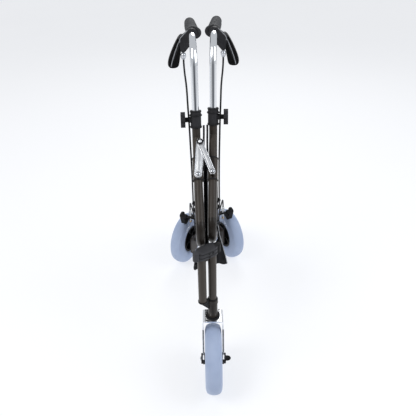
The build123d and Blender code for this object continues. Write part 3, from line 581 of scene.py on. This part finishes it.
for word, side in SIDES.items():
    pivot = place(f"{word}_link_swing")
    normal, along_tube = direction(f"{word}_link_swing"), direction(f"{word}_sleeve_turn")
    lean = LINK_LEAN[word]
    rearward = (along_tube - UP * along_tube.z).normalized()
    along = (along_tube * math.cos(lean) + UP.cross(rearward) * math.sin(lean)).normalized()
    wide = normal.cross(along).normalized()
    body, half = f"{word}_link", LINK_HALF[word]
    face = pivot + normal * (LINK_T / 2)
    edge = half - LINK_RIM
    loop = []
    for end, turn in ((0.0, math.pi / 2), (LINK_LENGTH, -math.pi / 2)):
        for i in range(RIM_STEPS + 1):
            a = turn + math.pi * i / RIM_STEPS
            loop.append(face + along * (end + edge * math.cos(a)) + wide * (edge * math.sin(a)))
    smooth_tube(f"{word}_link_rim", loop + [loop[0]], LINK_RIM, ZINC, body, straight=True)
    panel = [(PANEL_START, -half * PANEL_SHARE), (PANEL_END, -half * PANEL_SHARE),
             (PANEL_END, half * PANEL_SHARE), (PANEL_START, half * PANEL_SHARE)]
    slab(f"{word}_link_emboss", face - normal * 0.0003, along, wide, panel, 0.0009, SATIN, body,
         bevel=0.0006)
    lathe(f"{word}_link_rivet", pivot + normal * (LINK_T / 2 + 0.0003), normal,
          [(0, 0.0030), (0, 0.0057), (0.0014, 0.0057), (0.0026, 0.0046), (0.0033, 0.0024), (0.0034, 0.0005)],
          ZINC, f"{word}_sleeve", steps=32)
    if word == "right":
        hub = pivot + along * LINK_LENGTH + normal * (LINK_T / 2)
        lathe("brace_ring_washer", hub, normal,
              [(0, 0.0042), (0, 0.0080), (0.0008, 0.0086), (0.0022, 0.0084), (0.0030, 0.0068),
               (0.0030, 0.0042)],
              BLACK, body, steps=40, closed=True)
        lathe("brace_dome_bolt", hub + normal * 0.0014, normal,
              [(0, 0.0040), (0, 0.0052), (0.0014, 0.0052), (0.0030, 0.0042), (0.0040, 0.0022),
               (0.0042, 0.0004)],
              CHROME, body, steps=36)
    else:
        tip = pivot + along * (LINK_LENGTH + half - TAB_T) + normal * (-LINK_T / 2)
        tab = half * TAB_SHARE
        slab("left_link_tab", tip, along, wide, [(0, -tab), (TAB_T, -tab), (TAB_T, tab), (0, tab)],
             LINK_T, SATIN, body)
    for name, offset in SLEEVE_RINGS.items():
        lathe(f"{word}_sleeve_{name}", place(f"{word}_sleeve_turn") + along_tube * offset, along_tube,
              SLEEVE_SECTION, BLACK, f"{word}_sleeve", steps=48, closed=True)


# ---- height collars: stepped rings round the socket's mouth ----------------------------------------
KNOB_OUT = 0.030
COLLAR_RINGS = (("low", 0.7095, 0.0158), ("step", 0.7395, 0.0166), ("mouth", 0.7490, 0.0152))

for word in SIDES:
    slide = place(f"{word}_knob_turn") - direction(f"{word}_knob_turn") * KNOB_OUT
    along = direction(f"{word}_handle_height")
    for name, z, crown in COLLAR_RINGS:
        lathe(f"{word}_collar_{name}", slide + along * ((z - slide.z) / along.z), along,
              ring_section(0.0022, 0.0014, 0.0138, crown, 0.0008),
              BLACK, f"{word}_side", steps=48, closed=True)


# ---- hinge band: ribs and screw recesses -----------------------------------------------------------
BAND_R, BAND_RIB, BAND_STEPS = 0.0140, 0.0011, 16
RECESS_OUT = 0.0139
RIB_LEVELS = {"low": 0.30, "high": 0.74}  # shares of the band's height
RECESSES = ((0.46, 0.62), (0.80, 0.58), (0.48, 0.20))  # shares of the way between the posts and of the height

band_low, band_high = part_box("hinge_band")
left_post, right_post = place("fold"), place("caster_swivel")
left_post.z = right_post.z = 0
span = right_post - left_post
across_band = span.normalized()
front = UP.cross(across_band) * -1
front = front if front.y < 0 else -front


def band_level(share):
    return UP * (band_low.z + (band_high.z - band_low.z) * share)


for name, height in RIB_LEVELS.items():
    loop = []
    for centre, start in ((right_post, -math.pi / 2), (left_post, math.pi / 2)):
        for i in range(BAND_STEPS + 1):
            a = start + math.pi * i / BAND_STEPS
            loop.append(centre + band_level(height) + across_band * (BAND_R * math.cos(a))
                        - front * (BAND_R * math.sin(a)))
    smooth_tube(f"band_rib_{name}", loop + [loop[0]], BAND_RIB, GREY, "right_side",
                straight=True)
for number, (share, height) in enumerate(RECESSES, start=1):
    centre = left_post + span * share + band_level(height) + front * RECESS_OUT
    lathe(f"band_recess_{number}", centre, front,
          [(0, 0.0008), (0, 0.0034), (0.0006, 0.0034), (0.0008, 0.0030), (0.0003, 0.0024), (0.0002, 0.0004)],
          HUB, "right_side", steps=28)


# ---- caster column: a ring near each end and a collar on top ---------------------------------------
housing_low, housing_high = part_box("caster_housing")
for name, z in (("upper", housing_high.z - 0.0138), ("lower", housing_low.z + 0.004)):
    lathe(f"housing_ring_{name}", right_post + UP * z, UP,
          ring_section(0.0012, 0.0006, 0.0128, 0.0149, 0.0007),
          PAINT, "right_side", steps=56, closed=True)
lathe("housing_collar", right_post + UP * (housing_high.z - 0.0004), UP,
      [(0, 0.0112), (0, 0.0128), (0.0016, 0.0126), (0.0024, 0.0118), (0.0024, 0.0112)],
      BLACK, "right_side", steps=48, closed=True)


# ---- front axle: black caps over the ends of the fork's legs ---------------------------------------
LEG_CAP = [(0.0249, 0.0060), (0.0249, 0.0156), (0.0257, 0.0165), (0.0304, 0.0165), (0.0304, 0.0060)]

for name, end in SIDES.items():
    lathe(f"front_leg_cap_{name}", place("front_wheel_spin"), direction("front_wheel_spin"),
          [(end * x, r) for x, r in LEG_CAP], BLACK, "caster", steps=48, closed=True)


# ---- bag: an open-topped folded shell between the side frames --------------------------------------
BAG_FRONT = [(0.296, 0.165), (0.345, 0.158), (0.380, 0.150), (0.560, 0.225), (0.592, 0.262)]
BAG_BACK = [(0.296, 0.390), (0.560, 0.400), (0.592, 0.400)]
BAG_LOW, BAG_TOP = 0.2985, 0.590
TOP_FALL, TOP_SAG = 0.034, 0.006
HEM_WAVE = 0.0022
BAG_HALF, BAG_SWELL, BAG_CREASE = 0.0042, 0.0018, 0.0004
CORNER_TOP, CORNER_DROP = 0.345, 0.0465  # below its top, the corner fans out over this height
CORNER_REACH = {1: 0.010, -1: 0.033}
CORNER_Y, CORNER_WIDTH, CORNER_RIPPLE = 0.176, 0.024, 0.10
CREASE_BACK, CREASE_FRONT = 0.09, 0.035  # how far the gussets' creases fold in
BAG_CLOTH = 0.0009
PANEL, GUSSET, LEVELS = 44, 6, 44


def along_edge(edge, z):
    for (za, ya), (zb, yb) in zip(edge, edge[1:]):
        if z <= zb:
            return ya + (yb - ya) * max(0.0, z - za) / (zb - za)
    return edge[-1][1]


def bag_point(side, share, t):
    """A point of a side panel: share runs front to back, t runs up."""
    top = BAG_TOP - TOP_FALL * share - TOP_SAG * math.sin(math.pi * share)
    z = BAG_LOW + t * (top - BAG_LOW) + HEM_WAVE * math.sin(9.0 * share + side) * (1 - t) ** 3
    y_front, y_back = along_edge(BAG_FRONT, z), along_edge(BAG_BACK, z)
    y = FRONT_AXLE_Y + y_front + (y_back - y_front) * share
    fold = math.sin(46 * share + 5.0 * t + 1.3 * side) + 0.6 * math.sin(23 * share - 8 * t + side)
    pinch = math.sin(math.pi * share) ** 0.35 if 0 < share < 1 else 0.0
    x = BAG_HALF + BAG_SWELL * pinch + BAG_CREASE * fold * pinch
    drop = max(0.0, CORNER_TOP - z) / CORNER_DROP
    near = math.exp(-((y - FRONT_AXLE_Y - CORNER_Y) / CORNER_WIDTH) ** 2)
    wave = 1 + CORNER_RIPPLE * math.sin(48 * t + 40 * share)
    x += CORNER_REACH[side] * drop ** 1.15 * near * wave
    return Vector((side * x, y, z))


def gusset(first, crease, last):
    """The points between two corners of the bag, by way of the crease where its end folds in."""
    inward = [first.lerp(crease, i / GUSSET) for i in range(1, GUSSET + 1)]
    return inward + [crease.lerp(last, i / GUSSET) for i in range(1, GUSSET)]


rows = []
for level in range(LEVELS + 1):
    t = level / LEVELS
    right = [bag_point(1, i / PANEL, t) for i in range(PANEL + 1)]
    left = [bag_point(-1, 1 - i / PANEL, t) for i in range(PANEL + 1)]
    back = gusset(right[-1], Vector((0, right[-1].y - CREASE_BACK, right[-1].z)), left[0])
    forward = gusset(left[-1], Vector((0, right[0].y + CREASE_FRONT, right[0].z)), right[0])
    rows.append(right + back + left + forward)
verts, faces = rings(rows, "open")
bottom = tuple(range(len(rows[0])))[::-1]
bag = piece_from("bag_shell", verts, faces + [bottom], NYLON, None)
apply_modifier(bag, "SOLIDIFY", thickness=BAG_CLOTH, offset=-1)
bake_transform(bag)
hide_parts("bag")


# ---- bag trim: piping in front, a seam behind and a hem round the mouth ----------------------------
TRIM_LEVELS = [0.01 + 0.04 * i for i in range(25)]
HEM_SHARES = [0.03 + 0.94 * i / 40 for i in range(41)]
HEM_LEVEL = 0.985


def bag_trim(name, word, points, radius, material, proud):
    out = Vector((SIDES[word] * proud, 0, 0))
    smooth_tube(name, [point + out for point in points], radius, material, f"{word}_side")


for word, side in SIDES.items():
    bag_trim(f"bag_piping_{word}", word, [bag_point(side, 0.02, t) for t in TRIM_LEVELS], 0.0011,
             PIPING if side > 0 else NYLON, 0.0006)
    bag_trim(f"bag_seam_{word}", word, [bag_point(side, 0.97, t) for t in TRIM_LEVELS], 0.0009, NYLON, 0.0008)
    bag_trim(f"bag_hem_{word}", word, [bag_point(side, share, HEM_LEVEL) for share in HEM_SHARES], 0.0012,
             WEBBING, 0.0006)


# ---- bag flaps: one folded over the right lower tube with a pale bound edge, one under the left side
FLAP_Y = FRONT_AXLE_Y + 0.200
FLAP_STEPS = 22
FLAP_ROWS = [(0.4330, 0.0050, 0.0320), (0.4290, 0.0120, 0.0335), (0.4220, 0.0305, 0.0345),
             (0.4100, 0.0318, 0.0355), (0.3930, 0.0320, 0.0380), (0.3820, 0.0316, 0.0404),
             (0.3740, 0.0280, 0.0425), (0.3600, 0.0200, 0.0460), (0.3450, 0.0140, 0.0490),
             (0.3300, 0.0115, 0.0525), (0.3080, 0.0095, 0.0570), (0.2880, 0.0080, 0.0605)]
LEFT_FLAP_Y = FRONT_AXLE_Y + 0.182
LEFT_FLAP_STEPS = 14
LEFT_FLAP_TOP, LEFT_FLAP_DROP = 0.356, 0.073
LEFT_FLAP = [(LEFT_FLAP_TOP, 0.0150, 0.0260), (0.3400, 0.0140, 0.0320), (0.3240, 0.0130, 0.0358),
             (0.3080, 0.0120, 0.0390), (0.2920, 0.0110, 0.0412), (0.2830, 0.0110, 0.0418)]
CLOTH_HALF = Vector((0, 0.0006, 0))


def flap_point(row, share):
    """A point of the flap: share runs from its inner edge to its bound edge."""
    z, inner, outer = FLAP_ROWS[row]
    drop = row / (len(FLAP_ROWS) - 1)
    fold = 0.0030 * drop * math.sin(7.5 * share + 1.8 * drop)
    hem = -0.0045 * drop ** 4 * math.sin(9.0 * share + 0.6)
    return Vector((inner + (outer - inner) * share, FLAP_Y + fold, z + hem))


def left_flap_point(z, inner, outer, i):
    """A point of the left flap, i steps from its inner edge."""
    y = LEFT_FLAP_Y + 0.0022 * math.sin(0.6 * i + 60 * z)
    hem = 0.0025 * math.sin(0.9 * i) * (LEFT_FLAP_TOP - z) / LEFT_FLAP_DROP
    return Vector((-inner - (outer - inner) * i / LEFT_FLAP_STEPS, y, z + hem))


def flap(name, lines, body):
    """A flap of cloth from lines of points across it, given from the top down."""
    rows = [[p - CLOTH_HALF for p in line] + [p + CLOTH_HALF for p in reversed(line)] for line in lines]
    verts, faces = rings(rows)
    piece_from(name, verts, faces, NYLON, body)


flap_lines = [[flap_point(row, i / FLAP_STEPS) for i in range(FLAP_STEPS + 1)]
              for row in range(len(FLAP_ROWS))]
flap("bag_flap", flap_lines, "right_side")
smooth_tube("bag_flap_piping", [line[-1] for line in flap_lines], 0.0012, PIPING, "right_side")
smooth_tube("bag_flap_hem", flap_lines[-1], 0.0011, WEBBING, "right_side")
flap("bag_flap_left", [[left_flap_point(z, inner, outer, i) for i in range(LEFT_FLAP_STEPS + 1)]
                       for z, inner, outer in LEFT_FLAP], "left_side")


# ---- bag straps: flat webbing straight up from the bag's front corners -----------------------------
STRAPS = {"left": (-0.0030, 0.717), "right": (0.0063, 0.718)}
STRAP_STEPS, STRAP_SWAY = 24, 0.0006
STRAP_SECTION = ((-0.0022, -0.0009), (0.0022, -0.0009), (0.0026, 0), (0.0022, 0.0009), (-0.0022, 0.0009),
                 (-0.0026, 0))

for word, (x, top) in STRAPS.items():
    base = bag_point(SIDES[word], 0.03, 0.97)
    path = [(base.x, base.y + 0.002, base.z), (x * 0.9, base.y - 0.001, base.z + 0.030),
            (x * 1.1, base.y + 0.002, 0.640), (x, base.y - 0.001, 0.680), (x, base.y, top)]
    rows = []
    for i in range(STRAP_STEPS + 1):
        u = i / STRAP_STEPS * (len(path) - 1)
        k = min(int(u), len(path) - 2)
        p = Vector(path[k]).lerp(Vector(path[k + 1]), u - k)
        sway = STRAP_SWAY * math.sin(u * 2.1)
        rows.append([p + Vector((dx + sway, dy, 0)) for dx, dy in STRAP_SECTION])
    verts, faces = rings(rows)
    piece_from(f"bag_strap_{word}", verts, faces, WEBBING, f"{word}_side")


# ---- stage ----------------------------------------------------------------------------------------
def stage_sheet(name, low, high, z, material):
    """A level rectangle between two (x, y) corners."""
    corners = [(low[0], low[1], z), (high[0], low[1], z), (high[0], high[1], z), (low[0], high[1], z)]
    mesh = bpy.data.meshes.new(name)
    mesh.from_pydata(corners, [], [(0, 1, 2, 3)])
    made = bpy.data.objects.new(name, mesh)
    bpy.context.collection.objects.link(made)
    wear(made, material)
    return made


FLOOR = surface("studio_floor", (0.42, 0.422, 0.432), 0.7, second=(0.41, 0.412, 0.422), patch=0.7,
                grain=("noise", 60), bump=0.01, specular=0.1)
floor_shader = FLOOR.node_tree.nodes["Principled BSDF"]
floor_shader.inputs["Emission Color"].default_value = (0.97, 0.98, 1.0, 1)
floor_shader.inputs["Emission Strength"].default_value = 0.60
floor = stage_sheet("floor", (-40, -40), (40, 40), -0.0005, FLOOR)

# A dark card just over the floor in front of the walker. Only reflections show it: it gives the chrome tubes
# their dark centre line.
CARD = surface("dark_card", (0.012, 0.014, 0.020), 0.8, patch=3, specular=0.1)
card = stage_sheet("dark_card", (-0.42, -2.6), (0.30, -0.95), 0.001, CARD)
card.visible_camera = card.visible_shadow = card.visible_diffuse = False

# The surroundings are pale, and dark only straight in front of the walker.
DARK_SPAN, DARK_SHARE = (-0.985, -0.80), 0.12
WORLD_STRENGTH = 0.58
world = bpy.data.worlds.new("studio")
bpy.context.scene.world = world
world.use_nodes = True
tree = world.node_tree
background = tree.nodes["Background"]
coords = tree.nodes.new("ShaderNodeTexCoord")
split = tree.nodes.new("ShaderNodeSeparateXYZ")
link(tree, coords, "Generated", split, "Vector")
pale = map_range(tree, split, "Y", DARK_SPAN, DARK_SHARE, 1.0)
tint = mix_colours(tree, pale, (0.02, 0.03, 0.05), (0.93, 0.96, 1.0))
link(tree, tint, "Result", background, "Color")
background.inputs["Strength"].default_value = WORLD_STRENGTH


def area_light(name, place_at, look_at, size, power, colour=(1, 1, 1)):
    light = bpy.data.lights.new(name, "AREA")
    light.shape, light.size, light.energy, light.color = "DISK", size, power, colour
    made = bpy.data.objects.new(name, light)
    bpy.context.collection.objects.link(made)
    made.location = place_at
    made.rotation_euler = (Vector(look_at) - Vector(place_at)).to_track_quat("-Z", "Y").to_euler()
area_light("key", (-1.7, -1.1, 2.6), (0, 0, 0.4), 1.5, 34, (1.0, 0.985, 0.96))
area_light("fill", (1.9, -0.7, 1.9), (0, 0, 0.5), 1.6, 20, (0.93, 0.96, 1.0))
area_light("back", (0.3, 2.2, 2.3), (0, 0, 0.5), 1.4, 18)

CAMERA_AT = (0.005, FRONT_AXLE_Y - 0.883, 1.194)
CAMERA_DOWN, CAMERA_ROLL = 33, -1  # degrees
SENSOR_WIDTH = 36.0
FOCAL_TO_WIDTH = 460 / 416  # focal length over the width of the view
FARTHEST = 200

camera_data = bpy.data.cameras.new("camera")
camera_data.sensor_width = SENSOR_WIDTH
camera_data.lens = SENSOR_WIDTH * FOCAL_TO_WIDTH
camera_data.clip_end = FARTHEST
camera = bpy.data.objects.new("camera", camera_data)
bpy.context.collection.objects.link(camera)
camera.matrix_world = (Matrix.Translation(CAMERA_AT)
                       @ Matrix.Rotation(math.radians(90 - CAMERA_DOWN), 4, "X")
                       @ Matrix.Rotation(math.radians(CAMERA_ROLL), 4, "Z"))
bpy.context.scene.camera = camera
bpy.context.scene.view_settings.view_transform = "Standard"
